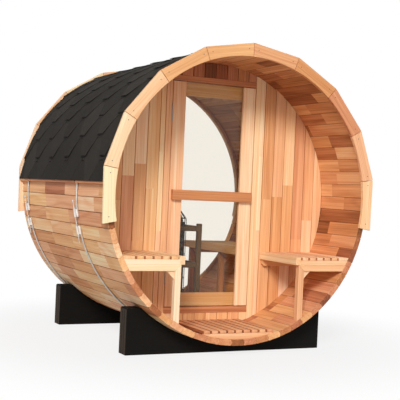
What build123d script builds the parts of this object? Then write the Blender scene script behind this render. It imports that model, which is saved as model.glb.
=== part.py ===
from build123d import *
from math import cos, degrees, radians, sin, sqrt, tan
import os

# Barrel: flat staves with bead-and-cove edges, set round a horizontal axis
barrel_radius = 950.0
stave_count = 64
stave_turn = 2.1
staves_per_node = 8
stave_thickness = 38.0
stave_length = 1780.0
bead_height = 3.4
croze_depth = 8.0
fit_gap = 0.3
overrun = 20.0

# Fascia boards that ring both ends over the top of the barrel
fascia_thickness = 25.0
fascia_rise = 42.0
fascia_lap = 7.5
fascia_board_count = 10
fascia_board_angle = 20.2
fascia_joint_gap = 0.8

# Roof covering, held off the staves by battens and kicked out at the eaves
roof_thickness = 5.0
roof_edge_angle = 86.3
roof_course_count = 10
eave_kick_angle = 6.7
batten_width = 40.0
batten_courses = (1, 5, 8)
batten_hoop_gap = 2.0
eave_batten_thickness = 27.0
eave_batten_reveal = 14.0

# Cradles
cradle_width = 1434.0
cradle_thickness = 109.0
cradle_web = 66.0
cradle_end_height = 296.0
cradle_corner_radius = 12.0
front_cradle_inset = 194.0
rear_cradle_inset = 219.0

# Hoops, with the screw that draws the ends of each one together
hoop_rod = 12.0
hoop_chamfer = 3.5
front_hoop_setback = 30.0
rear_hoop_inset = 190.0
tension_angle = -102.0
lug_length = 53.0
lug_half_spacing = 30.0
lug_wall = 3.5
lug_corner = 3.0
lug_screw_setback = 5.0
tension_rod = 8.0
tension_rod_length = 286.0
tension_nut_width = 13.0
tension_nut_height = 8.0
screw_sides = 8

# Front wall and the frame of its doorway
wall_depth = 515.0
wall_thickness = 38.0
frame_proud = 4.0
jamb_width = 42.0
frame_rail_height = 36.0
threshold_height = 41.0

# Door
door_width = 634.0
door_gap = 5.0
door_head_drop = 145.0
door_sill_rise = 92.0
stile_width = 95.0
stile_thickness = 22.0
door_glass_thickness = 8.0
door_rail_height = 90.0
back_stile_width = 60.0
handle_length = 606.0
handle_height = 69.0
handle_thickness = 28.0
handle_edge_radius = 3.0
hinge_length = 115.0
hinge_inset = 210.0
hinge_plate = 2.0
hinge_plate_depth = 34.0
hinge_knuckle = 8.0
hinge_pin = 4.0
hinge_axis_proud = 5.0
hinge_clearance = 0.5
knuckle_sides = 8

# Floors
floor_rise = 61.0
floor_slat_width = 45.0
floor_slat_gap = 13.0
floor_slat_count = 9
slat_thickness = 20.0
floor_bearer_thickness = 22.0
porch_floor_setback = 5.0
bearer_setback = 4.0

# Porch seats and the bench inside
seat_height = 471.0
seat_setback = 44.0
seat_front_setback = 3.0
side_board_width = 36.0
tray_depth = 52.0
tray_batten = 24.0
seat_slat_width = 45.0
seat_slat_gap = 13.0
leg_size = 40.0
leg_depth = 42.0
leg_setback = 24.0
gusset_leg = 55.0
gusset_thickness = 20.0
ledger_height = 44.0
ledger_thickness = 30.0
ledger_setback = 10.0
bench_frame_setback = 44.0

# Rear window
rear_trim_width = 24.0
rear_trim_thickness = 28.0
rear_glass_thickness = 8.0
rear_glass_inset = 33.0

# Heater and the guard round it
guard_post = 33.0
guard_height = 650.0
guard_length = 320.0
guard_width = 324.0
guard_setback = 137.0
guard_right_edge = 34.0
guard_rail_thickness = 22.0
guard_rail_height = 36.0
guard_rail_drops = (18.0, 275.0, 560.0)
heater_radius = 105.0
heater_height = 740.0
heater_shoulder_drop = 55.0
heater_neck_radius = 60.0
heater_bar = 6.0
heater_bar_count = 8
heater_ring_count = 3
heater_stone_gap = 3.0

# Sizes that follow from the ones above
overall_length = stave_length + 2 * fascia_thickness
half_step = radians(180 / stave_count)
outer_flat = barrel_radius * cos(half_step)
inner_flat = outer_flat - stave_thickness
clear_radius = inner_flat - fit_gap
croze_flat = inner_flat + croze_depth
saddle_radius = barrel_radius + fit_gap
axis_height = cradle_web + saddle_radius
floor_top = floor_rise - inner_flat
seat_top = floor_top + seat_height
opening_half_width = door_width / 2 + door_gap
jamb_outer = opening_half_width + jamb_width
seat_inner = jamb_outer + seat_setback
door_bottom = floor_top + door_sill_rise
door_top = inner_flat - door_head_drop
head_bottom = door_top + door_gap
threshold_top = door_bottom - door_gap
frame_depth = wall_depth - frame_proud
frame_thickness = frame_proud + wall_thickness
wall_back = wall_depth + wall_thickness
stave_end = fascia_thickness + stave_length
rear_glass_depth = stave_end - rear_glass_inset
rear_trim_depth = rear_glass_depth - fit_gap - rear_trim_thickness
seat_front = fascia_thickness + seat_front_setback
front_hoop_depth = wall_depth + front_hoop_setback
rear_hoop_depth = overall_length - rear_hoop_inset
guard_front_depth = wall_back + guard_setback
barrel_axis = Axis((0, 0, axis_height), (0, 1, 0))


def section(depth):
    """Plane across the barrel at a depth behind its front face. The axis is its origin, minus goes back."""
    return Plane(origin=(0, depth - overall_length / 2, axis_height), x_dir=(1, 0, 0), z_dir=(0, -1, 0))


def radial(angle):
    """Direction out from the barrel axis at an angle from the top, positive to the right."""
    return Vector(sin(radians(angle)), 0, cos(radians(angle)))


def tangent(angle):
    """Direction round the barrel in which that angle grows."""
    return Vector(cos(radians(angle)), 0, -sin(radians(angle)))


def along_axis(angle):
    """Plane through the barrel axis: x runs back from the front face, y runs out at that angle."""
    origin = (0, -overall_length / 2, axis_height)
    return Plane(origin=origin, x_dir=(0, 1, 0), z_dir=tangent(angle))


def chord_half(height):
    """Half width of the clear space inside the staves at a height from the axis."""
    return sqrt(clear_radius**2 - height**2)


nodes = {}

# Staves: one profile, its bead on the leading edge and its cove on the trailing edge, each over a flat land
lead = Vector(cos(half_step), sin(half_step))
trail = Vector(cos(half_step), -sin(half_step))
lead_side = Vector(-sin(half_step), cos(half_step))
trail_side = Vector(sin(half_step), cos(half_step))


def edge_point(direction, side, gap, flat):
    """Point on the side of a stave, moved off it by a gap, where a flat face at that distance meets it."""
    return direction * ((flat - side.X * gap) / direction.X) + side * gap


bead_middle = (outer_flat + croze_flat) / 2
with BuildSketch() as stave_profile:
    with BuildLine():
        bead = ThreePointArc(
            edge_point(lead, lead_side, 0, outer_flat),
            edge_point(lead, lead_side, bead_height, bead_middle),
            edge_point(lead, lead_side, 0, croze_flat),
        )
        cove = ThreePointArc(
            edge_point(trail, trail_side, fit_gap, croze_flat),
            edge_point(trail, trail_side, bead_height + fit_gap, bead_middle),
            edge_point(trail, trail_side, fit_gap, outer_flat),
        )
        lead_foot = edge_point(lead, lead_side, 0, inner_flat)
        trail_foot = edge_point(trail, trail_side, fit_gap, inner_flat)
        Polyline(bead @ 1, lead_foot, trail_foot, cove @ 0)
        Line(cove @ 1, bead @ 0)
    make_face()

stave_step = 360 / stave_count
stave_groups = (
    "staves_right",
    "staves_upper_right",
    "staves_crown",
    "staves_upper_left",
    "staves_left",
    "staves_lower_left",
    "staves_floor",
    "staves_lower_right",
)
for group, group_name in enumerate(stave_groups):
    first_stave = group * staves_per_node - (staves_per_node - 1) / 2
    with BuildPart() as staves:
        with BuildSketch(section(fascia_thickness)):
            group_arc = stave_step * (staves_per_node - 1)
            group_start = first_stave * stave_step + stave_turn
            with PolarLocations(0, staves_per_node, group_start, group_arc, endpoint=True):
                add(stave_profile.sketch)
        extrude(amount=-stave_length)
        with BuildSketch(section(wall_depth - fit_gap)):
            RegularPolygon(croze_flat, stave_count, major_radius=False, rotation=stave_turn)
        extrude(amount=-(wall_thickness + 2 * fit_gap), mode=Mode.SUBTRACT)
        with BuildSketch(section(rear_glass_depth - fit_gap)):
            RegularPolygon(croze_flat, stave_count, major_radius=False, rotation=stave_turn)
        extrude(amount=-(rear_glass_thickness + 2 * fit_gap), mode=Mode.SUBTRACT)
    nodes[group_name] = staves

# Fascia boards: straight outer edges, mitred ends, one arc along the inside
fascia_corner = barrel_radius + fascia_rise
fascia_inner = inner_flat - fascia_lap
fascia_half = radians(fascia_board_angle / 2)
mitre = Vector(cos(fascia_half), sin(fascia_half))
mitre_relief = Vector(sin(fascia_half), -cos(fascia_half)) * (fascia_joint_gap / 2)
upper_outer = mitre * fascia_corner + mitre_relief
upper_inner = mitre * fascia_inner + mitre_relief
with BuildSketch() as fascia_profile:
    with BuildLine():
        Polyline((upper_inner.X, -upper_inner.Y), (upper_outer.X, -upper_outer.Y), upper_outer, upper_inner)
        ThreePointArc(upper_inner, (fascia_inner, 0), (upper_inner.X, -upper_inner.Y))
    make_face()

fascia_arc = fascia_board_angle * (fascia_board_count - 1)
for fascia_name, fascia_depth in (("front_fascia", 0), ("rear_fascia", stave_end)):
    with BuildPart() as fascia:
        with BuildSketch(section(fascia_depth)):
            with PolarLocations(0, fascia_board_count, 90 - fascia_arc / 2, fascia_arc, endpoint=True):
                add(fascia_profile.sketch)
        extrude(amount=-fascia_thickness)
    nodes[fascia_name] = fascia

# Battens along the barrel under some of the roof's courses, in lengths that leave room for the hoops
roof_base = barrel_radius + fit_gap
course_angle = roof_edge_angle / roof_course_count
batten_thickness = hoop_rod + fit_gap
batten_notch = hoop_rod / 2 + batten_hoop_gap
eave_batten_angle = roof_edge_angle + degrees((eave_batten_reveal - batten_width / 2) / barrel_radius)
batten_runs = (
    (fascia_thickness + fit_gap, front_hoop_depth - batten_notch),
    (front_hoop_depth + batten_notch, rear_hoop_depth - batten_notch),
    (rear_hoop_depth + batten_notch, stave_end - fit_gap),
)
with BuildPart() as roof_battens:
    for batten_start, batten_end in batten_runs:
        with BuildSketch(section(batten_start)):
            for side in (-1, 1):
                for course in batten_courses:
                    with PolarLocations(roof_base, 1, 90 + side * course_angle * (course - 1 / 2)):
                        Rectangle(batten_thickness, batten_width, align=(Align.MIN, Align.CENTER))
                with PolarLocations(roof_base, 1, 90 + side * eave_batten_angle):
                    Rectangle(eave_batten_thickness, batten_width, align=(Align.MIN, Align.CENTER))
        extrude(amount=batten_start - batten_end)
nodes["roof_battens"] = roof_battens

# Roof covering: courses laid along the barrel from each eave to the ridge, the lowest one kicked out
roof_inner = roof_base + batten_thickness + fit_gap
course_half = radians(course_angle / 2)
course_width = 2 * roof_inner * tan(course_half) - fit_gap
plain_courses = roof_course_count - 1
plain_arc = course_angle * (plain_courses - 1)
kick_start = course_angle * plain_courses
for slope_name, side in (("roof_left_courses", 1), ("roof_right_courses", -1)):
    plain_start = 90 + course_angle / 2 if side == 1 else 90 - course_angle / 2 - plain_arc
    kick_turn = radians(90 + side * kick_start)
    kick_corner = Vector(cos(kick_turn), sin(kick_turn)) * (roof_inner / cos(course_half))
    kick_angle = 90 + side * (kick_start + course_angle / 2 - eave_kick_angle)
    kick_align = Align.MIN if side == 1 else Align.MAX
    with BuildPart() as roof_courses:
        with BuildSketch(section(fascia_thickness + fit_gap)):
            with PolarLocations(roof_inner, plain_courses, plain_start, plain_arc, endpoint=True):
                Rectangle(roof_thickness, course_width, align=(Align.MIN, Align.CENTER))
            with Locations(Location((kick_corner.X, kick_corner.Y, 0), (0, 0, kick_angle))):
                with Locations((0, side * fit_gap / 2)):
                    Rectangle(roof_thickness, course_width, align=(Align.MIN, kick_align))
        extrude(amount=2 * fit_gap - stave_length)
    nodes[slope_name] = roof_courses

# Frame of a tension screw: x back along the barrel, y out from it, offset upwards along the screw
lug_base = barrel_radius + 2 * fit_gap
tension_frame = along_axis(tension_angle)


def tension_plane(offset):
    """Plane across a tension screw, on the barrel's surface."""
    origin = tension_frame.origin + radial(tension_angle) * lug_base + tangent(tension_angle) * offset
    return Plane(origin=origin, x_dir=(0, 1, 0), z_dir=tangent(tension_angle))


# Hoops: a rod bent flat over every stave, with a break at the tension screw
hoop_flat = outer_flat + fit_gap
for hoop_name, hoop_depth in (("front_hoop", front_hoop_depth), ("rear_hoop", rear_hoop_depth)):
    with BuildPart() as hoop:
        with BuildSketch(section(hoop_depth - hoop_rod / 2)):
            RegularPolygon(hoop_flat + hoop_rod, stave_count, major_radius=False, rotation=stave_turn)
            RegularPolygon(
                hoop_flat, stave_count, major_radius=False, rotation=stave_turn, mode=Mode.SUBTRACT
            )
        extrude(amount=-hoop_rod)
        hoop_ends = faces().sort_by(Axis.Y)
        chamfer(hoop_ends[0].edges() + hoop_ends[-1].edges(), hoop_chamfer)
        with BuildSketch(tension_plane(-lug_half_spacing)):
            with Locations((hoop_depth, 0)):
                Rectangle(hoop_rod + overrun, 2 * (hoop_rod + overrun))
        extrude(amount=2 * lug_half_spacing, mode=Mode.SUBTRACT)
    nodes[hoop_name] = hoop

# Lugs: each has an open saddle for the rod, and stands off it a sleeve for the screw
saddle_width = hoop_rod + 2 * fit_gap
lug_screw_bore = tension_rod + 2 * fit_gap
lug_saddle_height = hoop_rod + fit_gap + lug_wall
sleeve_width = lug_screw_bore + 2 * lug_wall
screw_height = lug_saddle_height + lug_screw_bore / 2

with BuildPart() as hoop_lugs:
    for lug_start in (lug_half_spacing, -lug_half_spacing - lug_length):
        with BuildSketch(tension_plane(lug_start)):
            for hoop_depth in (front_hoop_depth, rear_hoop_depth):
                with Locations((hoop_depth, 0)):
                    Rectangle(saddle_width + 2 * lug_wall, lug_saddle_height, align=(Align.CENTER, Align.MIN))
                with Locations((hoop_depth + lug_screw_setback, screw_height)):
                    Rectangle(sleeve_width, sleeve_width)
            chamfer(vertices().group_by(Axis.Y)[-1], lug_corner)
            for hoop_depth in (front_hoop_depth, rear_hoop_depth):
                with Locations((hoop_depth, 0)):
                    Rectangle(saddle_width, 2 * (hoop_rod + fit_gap), mode=Mode.SUBTRACT)
                with Locations((hoop_depth + lug_screw_setback, screw_height)):
                    RegularPolygon(lug_screw_bore / 2, screw_sides, major_radius=False, mode=Mode.SUBTRACT)
        extrude(amount=lug_length)
nodes["hoop_lugs"] = hoop_lugs

with BuildPart() as tension_rods:
    hoop_depths = (front_hoop_depth, rear_hoop_depth)
    screw_places = [(depth + lug_screw_setback, screw_height) for depth in hoop_depths]
    with BuildSketch(tension_plane(-tension_rod_length / 2)):
        with Locations(*screw_places):
            RegularPolygon(tension_rod / 2, screw_sides)
    extrude(amount=tension_rod_length)
    lug_end = lug_half_spacing + lug_length
    for nut_start in (lug_end, -lug_end - tension_nut_height):
        with BuildSketch(tension_plane(nut_start)):
            with Locations(*screw_places):
                RegularPolygon(tension_nut_width / 2, 6, major_radius=False)
        extrude(amount=tension_nut_height)
nodes["tension_rods"] = tension_rods

# Cradles: timber blocks hollowed to the barrel
cradle_depths = {
    "front_cradle": front_cradle_inset,
    "rear_cradle": overall_length - rear_cradle_inset - cradle_thickness,
}
for cradle_name, cradle_depth in cradle_depths.items():
    with BuildPart() as cradle:
        with BuildSketch(section(cradle_depth)):
            with Locations((0, -axis_height)):
                Rectangle(cradle_width, cradle_end_height, align=(Align.CENTER, Align.MIN))
            fillet(vertices().group_by(Axis.Y)[-1], cradle_corner_radius)
            Circle(saddle_radius, mode=Mode.SUBTRACT)
        extrude(amount=-cradle_thickness)
    nodes[cradle_name] = cradle

# Front wall, seated in the croze and split beside, over and under the doorway
wall_flat = croze_flat - fit_gap
head_top = head_bottom + frame_rail_height
threshold_bottom = threshold_top - threshold_height
wall_reach = wall_flat + overrun
wall_panels = {
    "front_wall_left": (-wall_reach, -wall_reach, -jamb_outer, wall_reach),
    "front_wall_right": (jamb_outer, -wall_reach, wall_reach, wall_reach),
    "front_wall_over_door": (-opening_half_width, head_top, opening_half_width, wall_reach),
    "front_wall_under_door": (-opening_half_width, -wall_reach, opening_half_width, threshold_bottom),
}
for panel_name, (left, low, right, high) in wall_panels.items():
    with BuildPart() as wall_panel:
        with BuildSketch(section(wall_depth)):
            with Locations((left, low)):
                Rectangle(right - left, high - low, align=(Align.MIN, Align.MIN))
            RegularPolygon(
                wall_flat, stave_count, major_radius=False, rotation=stave_turn, mode=Mode.INTERSECT
            )
        extrude(amount=-wall_thickness)
    nodes[panel_name] = wall_panel

with BuildPart() as door_jambs:
    with BuildSketch(section(frame_depth)):
        with Locations((opening_half_width + jamb_width / 2, 0), (-opening_half_width - jamb_width / 2, 0)):
            Rectangle(jamb_width, 2 * wall_reach)
        Circle(clear_radius, mode=Mode.INTERSECT)
    extrude(amount=-frame_thickness)
nodes["door_jambs"] = door_jambs

with BuildPart() as door_frame_rails:
    with BuildSketch(section(frame_depth)):
        with Locations((0, head_bottom)):
            Rectangle(2 * opening_half_width, frame_rail_height, align=(Align.CENTER, Align.MIN))
        with Locations((0, threshold_bottom)):
            Rectangle(2 * opening_half_width, threshold_height, align=(Align.CENTER, Align.MIN))
    extrude(amount=-frame_thickness)
nodes["door_frame_rails"] = door_frame_rails

# Door leaf: stiles in front of the glass, a frame of stiles and rails behind it
door_height = door_top - door_bottom
door_middle = (door_top + door_bottom) / 2
glass_depth = frame_depth + stile_thickness
back_frame_depth = glass_depth + door_glass_thickness
with BuildPart() as door_stiles:
    with BuildSketch(section(frame_depth)):
        stile_place = (door_width - stile_width) / 2
        with Locations((stile_place, door_middle), (-stile_place, door_middle)):
            Rectangle(stile_width, door_height)
    extrude(amount=-stile_thickness)
nodes["door_stiles"] = door_stiles

with BuildPart() as door_glass:
    with BuildSketch(section(glass_depth)):
        with Locations((0, door_middle)):
            Rectangle(door_width, door_height)
    extrude(amount=-door_glass_thickness)
nodes["door_glass"] = door_glass

with BuildPart() as door_back_frame:
    back_stile_place = (door_width - back_stile_width) / 2
    back_rail_place = (door_height - door_rail_height) / 2
    with BuildSketch(section(back_frame_depth)):
        with Locations((back_stile_place, door_middle), (-back_stile_place, door_middle)):
            Rectangle(back_stile_width, door_height)
        with Locations((0, door_middle + back_rail_place), (0, door_middle - back_rail_place)):
            Rectangle(door_width - 2 * (back_stile_width + fit_gap), door_rail_height)
    extrude(amount=-stile_thickness)
nodes["door_back_frame"] = door_back_frame

with BuildPart() as door_handle_board:
    with BuildSketch(section(frame_depth - handle_thickness)):
        Rectangle(handle_length, handle_height)
    extrude(amount=-handle_thickness)
    fillet(faces().sort_by(Axis.Y)[0].edges(), handle_edge_radius)
nodes["door_handle_board"] = door_handle_board

# Butt hinges: the frame leaves carry the pin and the outer knuckles, the door leaves the middle one
hinge_x = -opening_half_width + door_gap / 2
hinge_depth = frame_depth - hinge_axis_proud
knuckle_length = hinge_length / 3
hinge_middles = (door_top - hinge_inset, door_bottom + hinge_inset)


def level(height):
    """Plane that looks down on the door's left edge: x right and y back from the hinge axis, at a height."""
    return Plane(origin=(hinge_x, hinge_depth - overall_length / 2, axis_height + height))


with BuildPart() as frame_hinge_leaves:
    for middle in hinge_middles:
        with BuildSketch(level(middle - hinge_length / 2)):
            RegularPolygon(hinge_knuckle / 2, knuckle_sides)
            with Locations((-door_gap / 2, 0)):
                Rectangle(hinge_plate, hinge_plate_depth, align=(Align.MIN, Align.MIN))
        extrude(amount=hinge_length)
        with BuildSketch(level(middle - knuckle_length / 2 - hinge_clearance)):
            RegularPolygon(hinge_knuckle / 2 + hinge_clearance, knuckle_sides)
        extrude(amount=knuckle_length + 2 * hinge_clearance, mode=Mode.SUBTRACT)
        with BuildSketch(level(middle - hinge_length / 2)):
            RegularPolygon(hinge_pin / 2, knuckle_sides)
        extrude(amount=hinge_length)
nodes["frame_hinge_leaves"] = frame_hinge_leaves

with BuildPart() as door_hinge_leaves:
    for middle in hinge_middles:
        with BuildSketch(level(middle - hinge_length / 2)):
            with Locations((door_gap / 2, 0)):
                Rectangle(hinge_plate, hinge_plate_depth, align=(Align.MAX, Align.MIN))
        extrude(amount=hinge_length)
        with BuildSketch(level(middle - hinge_length / 2)):
            RegularPolygon(hinge_knuckle / 2 + hinge_clearance, knuckle_sides)
        extrude(amount=hinge_length, mode=Mode.SUBTRACT)
        with BuildSketch(level(middle - knuckle_length / 2)):
            RegularPolygon(hinge_knuckle / 2, knuckle_sides)
            with Locations((door_gap / 2, 0)):
                Rectangle(hinge_plate, hinge_knuckle, align=(Align.MAX, Align.MIN))
        extrude(amount=knuckle_length)
        with BuildSketch(level(middle - knuckle_length / 2)):
            RegularPolygon((hinge_pin + hinge_clearance) / 2, knuckle_sides)
        extrude(amount=knuckle_length, mode=Mode.SUBTRACT)
nodes["door_hinge_leaves"] = door_hinge_leaves

# Slatted floors, each on bearers cut to the curve of the barrel
slat_bottom = floor_top - slat_thickness
slat_pitch = floor_slat_width + floor_slat_gap
bearer_half = (floor_slat_count * slat_pitch - floor_slat_gap) / 2
floor_front = fascia_thickness + porch_floor_setback
floor_runs = {
    "porch_floor": (floor_front, wall_depth - fit_gap),
    "cabin_floor": (wall_back + fit_gap, rear_trim_depth - fit_gap),
}
for floor_name, (floor_start, floor_end) in floor_runs.items():
    with BuildPart() as floor_slats:
        with BuildSketch(section(floor_start)):
            with Locations((0, floor_top - slat_thickness / 2)):
                with GridLocations(slat_pitch, 0, floor_slat_count, 1):
                    Rectangle(floor_slat_width, slat_thickness)
        extrude(amount=-(floor_end - floor_start))
    nodes[floor_name + "_slats"] = floor_slats
    last_bearer = floor_end - bearer_setback - floor_bearer_thickness
    first_bearer = floor_start + bearer_setback
    with BuildPart() as floor_bearers:
        for bearer_depth in (first_bearer, (first_bearer + last_bearer) / 2, last_bearer):
            with BuildSketch(section(bearer_depth)):
                with Locations((0, slat_bottom)):
                    Rectangle(2 * bearer_half, floor_rise, align=(Align.CENTER, Align.MAX))
                Circle(clear_radius, mode=Mode.INTERSECT)
            extrude(amount=-floor_bearer_thickness)
    nodes[floor_name + "_bearers"] = floor_bearers

# Seats: a tray of slats on leg frames and a wall ledger. The right-hand ones are drawn, the left mirrored.
tray_bottom = seat_top - tray_depth
under_tray = tray_bottom - fit_gap
slat_start = seat_inner + side_board_width + seat_slat_gap
seat_pitch = seat_slat_width + seat_slat_gap
slat_limit = chord_half(seat_top - slat_thickness)
seat_slat_count = int((slat_limit - slat_start + seat_slat_gap) / seat_pitch)
seat_back = wall_depth - fit_gap
bench_front = wall_back + fit_gap
bench_back = rear_trim_depth - fit_gap
bench_frames = ((bench_front + bench_back) / 2, bench_back - bench_frame_setback - leg_depth)
seat_runs = {
    "right_seat": (seat_front, seat_back, (seat_front,), seat_back - ledger_thickness),
    "bench": (bench_front, bench_back, bench_frames, bench_front),
}
for seat_name, (start, end, frame_depths, ledger_depth) in seat_runs.items():
    with BuildPart() as seat_slats:
        with BuildSketch(section(start)):
            for slat in range(seat_slat_count):
                last = slat == seat_slat_count - 1
                with Locations((slat_start + slat * seat_pitch, seat_top)):
                    slat_width = barrel_radius if last else seat_slat_width
                    Rectangle(slat_width, slat_thickness, align=(Align.MIN, Align.MAX))
            Circle(clear_radius, mode=Mode.INTERSECT)
        extrude(amount=-(end - start))
    nodes[seat_name + "_slats"] = seat_slats

    with BuildPart() as seat_frame:
        # Side board along the open edge, its top flush with the slats
        with BuildSketch(section(start)):
            with Locations((seat_inner, seat_top)):
                Rectangle(side_board_width, tray_depth, align=(Align.MIN, Align.MAX))
        extrude(amount=-(end - start))
        # Battens across the two ends, under the slats
        batten_left = seat_inner + side_board_width + fit_gap
        batten_height = tray_depth - slat_thickness
        for batten_depth in (start, end - tray_batten):
            with BuildSketch(section(batten_depth)):
                with Locations((batten_left, seat_top - slat_thickness)):
                    Rectangle(barrel_radius, batten_height, align=(Align.MIN, Align.MAX))
                Circle(clear_radius, mode=Mode.INTERSECT)
            extrude(amount=-tray_batten)
        # Ledger on the wall, its free end rounded
        with BuildSketch(section(ledger_depth)):
            with Locations((seat_inner + ledger_setback, under_tray)):
                Rectangle(barrel_radius, ledger_height, align=(Align.MIN, Align.MAX))
            fillet(vertices().group_by(Axis.X)[0].sort_by(Axis.Y)[0], ledger_height / 2)
            Circle(clear_radius, mode=Mode.INTERSECT)
        extrude(amount=-ledger_thickness)
        # Leg frames: a rail and a leg mitred at the corner, with a gusset in the angle
        leg_left = seat_inner + leg_setback
        leg_right = leg_left + leg_size
        rail_bottom = under_tray - leg_size
        for leg_frame_depth in frame_depths:
            with BuildSketch(section(leg_frame_depth)):
                with BuildLine():
                    Polyline(
                        (leg_left + fit_gap, under_tray),
                        (barrel_radius, under_tray),
                        (barrel_radius, rail_bottom),
                        (leg_right + fit_gap, rail_bottom),
                        close=True,
                    )
                make_face()
                with BuildLine():
                    Polyline(
                        (leg_left, under_tray - fit_gap),
                        (leg_right, rail_bottom - fit_gap),
                        (leg_right, -barrel_radius),
                        (leg_left, -barrel_radius),
                        close=True,
                    )
                make_face()
                Circle(clear_radius, mode=Mode.INTERSECT)
            extrude(amount=-leg_depth)
            with BuildSketch(section(leg_frame_depth + (leg_depth - gusset_thickness) / 2)):
                with BuildLine():
                    Polyline(
                        (leg_right + fit_gap, rail_bottom - fit_gap),
                        (leg_right + gusset_leg, rail_bottom - fit_gap),
                        (leg_right + fit_gap, rail_bottom - gusset_leg),
                        close=True,
                    )
                make_face()
            extrude(amount=-gusset_thickness)
    nodes[seat_name + "_frame"] = seat_frame

for piece in ("slats", "frame"):
    with BuildPart() as mirrored:
        mirror(nodes["right_seat_" + piece].part, about=Plane.YZ)
    nodes["left_seat_" + piece] = mirrored

# Rear window: a round pane in the croze, held by a trim ring inside
with BuildPart() as rear_window_glass:
    with BuildSketch(section(rear_glass_depth)):
        RegularPolygon(wall_flat, stave_count, major_radius=False, rotation=stave_turn)
    extrude(amount=-rear_glass_thickness)
nodes["rear_window_glass"] = rear_window_glass

with BuildPart() as rear_window_trim:
    with BuildSketch(section(rear_trim_depth)):
        RegularPolygon(clear_radius, stave_count, major_radius=False, rotation=stave_turn)
        trim_inner = clear_radius - rear_trim_width
        RegularPolygon(trim_inner, stave_count, major_radius=False, rotation=stave_turn, mode=Mode.SUBTRACT)
    extrude(amount=-rear_trim_thickness)
nodes["rear_window_trim"] = rear_window_trim

# Heater guard: four posts on the floor with rails between them
guard_middle_x = guard_right_edge - guard_width / 2
guard_middle_depth = guard_front_depth + guard_length / 2
guard_span_x = guard_width - guard_post
guard_span_y = guard_length - guard_post


def guard_plane(height):
    """Plane that looks down on the guard, its origin at the guard's middle."""
    return Plane(origin=(guard_middle_x, guard_middle_depth - overall_length / 2, axis_height + height))


with BuildPart() as guard_posts:
    with BuildSketch(guard_plane(floor_top)):
        with GridLocations(guard_span_x, guard_span_y, 2, 2):
            Rectangle(guard_post, guard_post)
    extrude(amount=guard_height)
nodes["guard_posts"] = guard_posts

with BuildPart() as guard_rails:
    for drop in guard_rail_drops:
        with BuildSketch(guard_plane(floor_top + guard_height - drop)):
            with GridLocations(0, guard_span_y, 1, 2):
                Rectangle(guard_span_x - guard_post - 2 * fit_gap, guard_rail_thickness)
            with GridLocations(guard_span_x, 0, 2, 1):
                Rectangle(guard_rail_thickness, guard_span_y - guard_post - 2 * fit_gap)
        extrude(amount=-guard_rail_height)
nodes["guard_rails"] = guard_rails

# Heater: a cage of bars and rings, filled with stones
ring_radius = heater_radius - heater_bar


def bar_plane(angle):
    """Upright plane through the heater's middle: x out at that angle, y up from the floor."""
    out = Vector(cos(radians(angle)), sin(radians(angle)))
    return Plane(origin=guard_plane(floor_top).origin, x_dir=out, z_dir=out.cross(Vector(0, 0, 1)))


shoulder = heater_height - heater_shoulder_drop
bar_step = 360 / heater_bar_count
with BuildPart() as heater_cage:
    for bar in range(heater_bar_count):
        with BuildSketch(bar_plane(bar * bar_step)):
            with BuildLine():
                Polyline(
                    (ring_radius, 0),
                    (heater_radius, 0),
                    (heater_radius, shoulder),
                    (heater_neck_radius, heater_height),
                    (heater_neck_radius - heater_bar, heater_height),
                    (heater_neck_radius - heater_bar, heater_height - heater_bar),
                    (ring_radius, shoulder - heater_bar),
                    close=True,
                )
            make_face()
        extrude(amount=heater_bar / 2, both=True)
    for ring in range(heater_ring_count):
        ring_height = ring * (shoulder - heater_bar) / (heater_ring_count - 1)
        with BuildSketch(guard_plane(floor_top + ring_height)):
            RegularPolygon(heater_radius, heater_bar_count)
            RegularPolygon(ring_radius, heater_bar_count, mode=Mode.SUBTRACT)
        extrude(amount=heater_bar)
    with BuildSketch(guard_plane(floor_top + heater_height - heater_bar)):
        RegularPolygon(heater_neck_radius, heater_bar_count)
        RegularPolygon(heater_neck_radius - heater_bar, heater_bar_count, mode=Mode.SUBTRACT)
    extrude(amount=heater_bar)
nodes["heater_cage"] = heater_cage

stone_radius = ring_radius * cos(radians(bar_step / 2)) - heater_bar / 2 - heater_stone_gap
with BuildPart() as heater_stones:
    with BuildSketch(guard_plane(floor_top)):
        RegularPolygon(stone_radius, heater_bar_count)
    extrude(amount=shoulder - heater_bar)
nodes["heater_stones"] = heater_stones

os.makedirs("parts", exist_ok=True)
for name, node in nodes.items():
    node.part.label = name
    export_step(node.part, f"parts/{name}.step")
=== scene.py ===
"""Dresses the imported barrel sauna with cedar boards, felt, steel and glass, in a plain studio."""
import math
import random

import bmesh
import bpy
from mathutils import Matrix, Vector


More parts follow.
